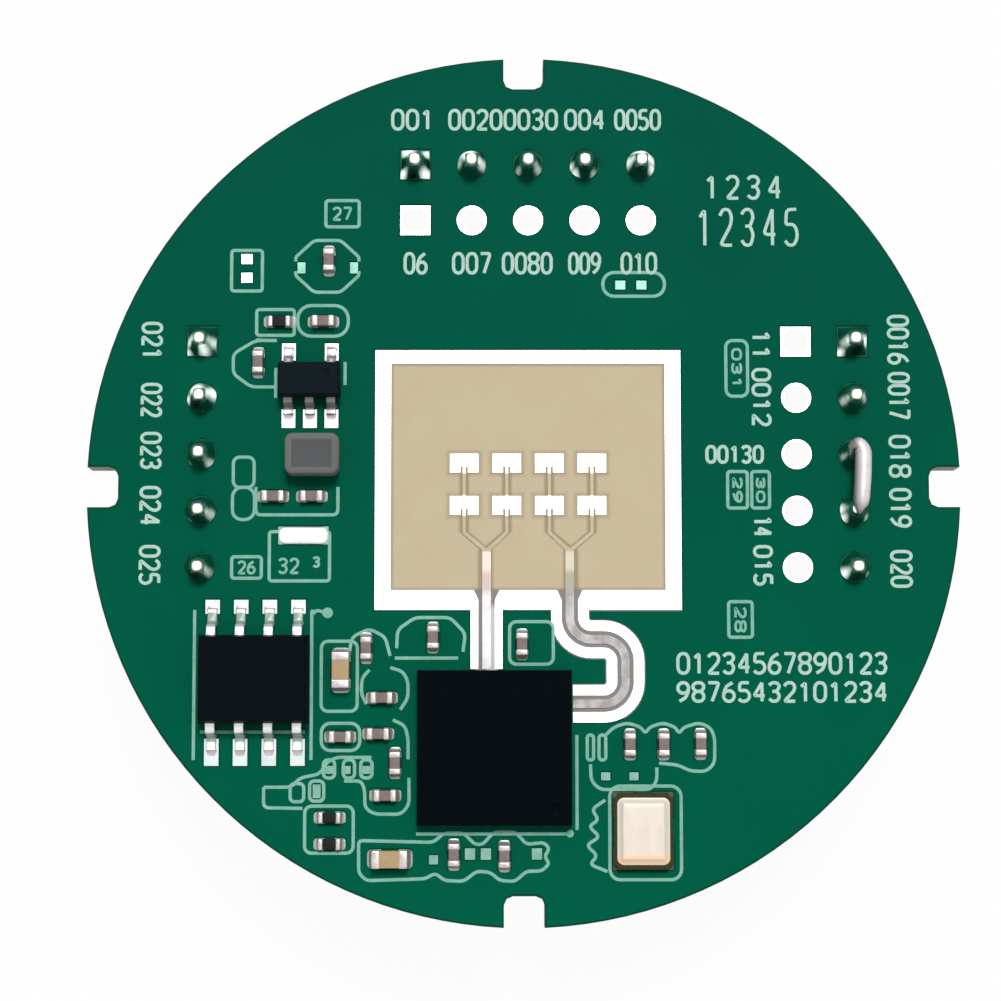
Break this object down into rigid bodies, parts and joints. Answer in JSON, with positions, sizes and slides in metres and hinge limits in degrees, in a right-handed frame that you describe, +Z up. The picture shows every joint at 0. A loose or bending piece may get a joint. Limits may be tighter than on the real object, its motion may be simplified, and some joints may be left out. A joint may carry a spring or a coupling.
{
  "type": "microwave radar sensor module",
  "caption": "Round circuit board module that senses motion by radar: patch antennas in a bare window, a square chip below them, and pin headers soldered through the rim.",
  "frame": {"origin": "middle of the bounding box at the level of the header pin tips, below the centre of the round board", "axes": "+Z up out of the antenna side of the board, +Y towards the top rim notch and header, +X towards the right header"},
  "size_m": [0.039, 0.039, 0.0117],
  "materials": {
    "laminate": "glass-fibre laminate, satin",
    "solder_mask": "green solder mask, satin gloss",
    "tinned_copper": "tin-plated copper, bright",
    "solder": "tin solder, bright",
    "pin_metal": "tin-plated brass, satin",
    "header_plastic": "black moulded plastic, matt",
    "package_black": "black mould compound, matt",
    "lead_metal": "tinned leads, satin",
    "inductor_grey": "grey pressed core, matt",
    "crystal_ceramic": "dark ceramic, matt",
    "crystal_metal": "metal lid, satin",
    "capacitor_tan": "tan ceramic with tinned ends",
    "capacitor_grey": "grey-brown ceramic with tinned ends",
    "resistor_black": "white ceramic with a black coat and tinned ends"
  },
  "bodies": {
    "root": {"antenna_ground_border": "tinned_copper", "ceramic_capacitor_01": "capacitor_grey", "ceramic_capacitor_02": "capacitor_grey", "ceramic_capacitor_03": "capacitor_grey", "ceramic_capacitor_04": "capacitor_grey", "ceramic_capacitor_05": "capacitor_grey", "ceramic_capacitor_06": "capacitor_grey", "ceramic_capacitor_07": "capacitor_grey", "ceramic_capacitor_08": "capacitor_grey", "ceramic_capacitor_09": "capacitor_grey", "ceramic_capacitor_10": "capacitor_grey", "ceramic_capacitor_11": "capacitor_grey", "ceramic_capacitor_12": "capacitor_grey", "ceramic_capacitor_13": "capacitor_grey", "ceramic_capacitor_14": "capacitor_grey", "ceramic_capacitor_15": "capacitor_grey", "ceramic_capacitor_16": "capacitor_grey", "ceramic_capacitor_17": "capacitor_grey", "ceramic_capacitor_18": "capacitor_grey", "chip_resistor_1": "resistor_black", "chip_resistor_2": "resistor_black", "chip_resistor_3": "resistor_black", "circuit_board": "laminate", "component_lands": "tinned_copper", "crystal_base": "crystal_ceramic", "crystal_lid": "crystal_metal", "inductor_body": "inductor_grey", "inductor_terminals": "lead_metal", "large_capacitor_1": "capacitor_tan", "large_capacitor_2": "capacitor_tan", "left_header_body": "header_plastic", "left_header_eyelets": "tinned_copper", "left_header_pins": "pin_metal", "left_header_solder": "solder", "memory_chip_body": "package_black", "memory_chip_leads": "lead_metal", "radar_chip_body": "package_black", "radar_chip_contacts": "lead_metal", "receive_antenna": "tinned_copper", "regulator_body": "package_black", "regulator_leads": "lead_metal", "right_header_body": "header_plastic", "right_header_eyelets": "tinned_copper", "right_header_pins": "pin_metal", "right_header_solder": "solder", "solder_link": "solder", "solder_mask_front": "solder_mask", "spare_holes_right": "tinned_copper", "spare_holes_top": "tinned_copper", "tinned_land": "solder", "top_header_body": "header_plastic", "top_header_eyelets": "tinned_copper", "top_header_pins": "pin_metal", "top_header_solder": "solder", "transmit_antenna": "tinned_copper"}
  },
  "joints": []
}
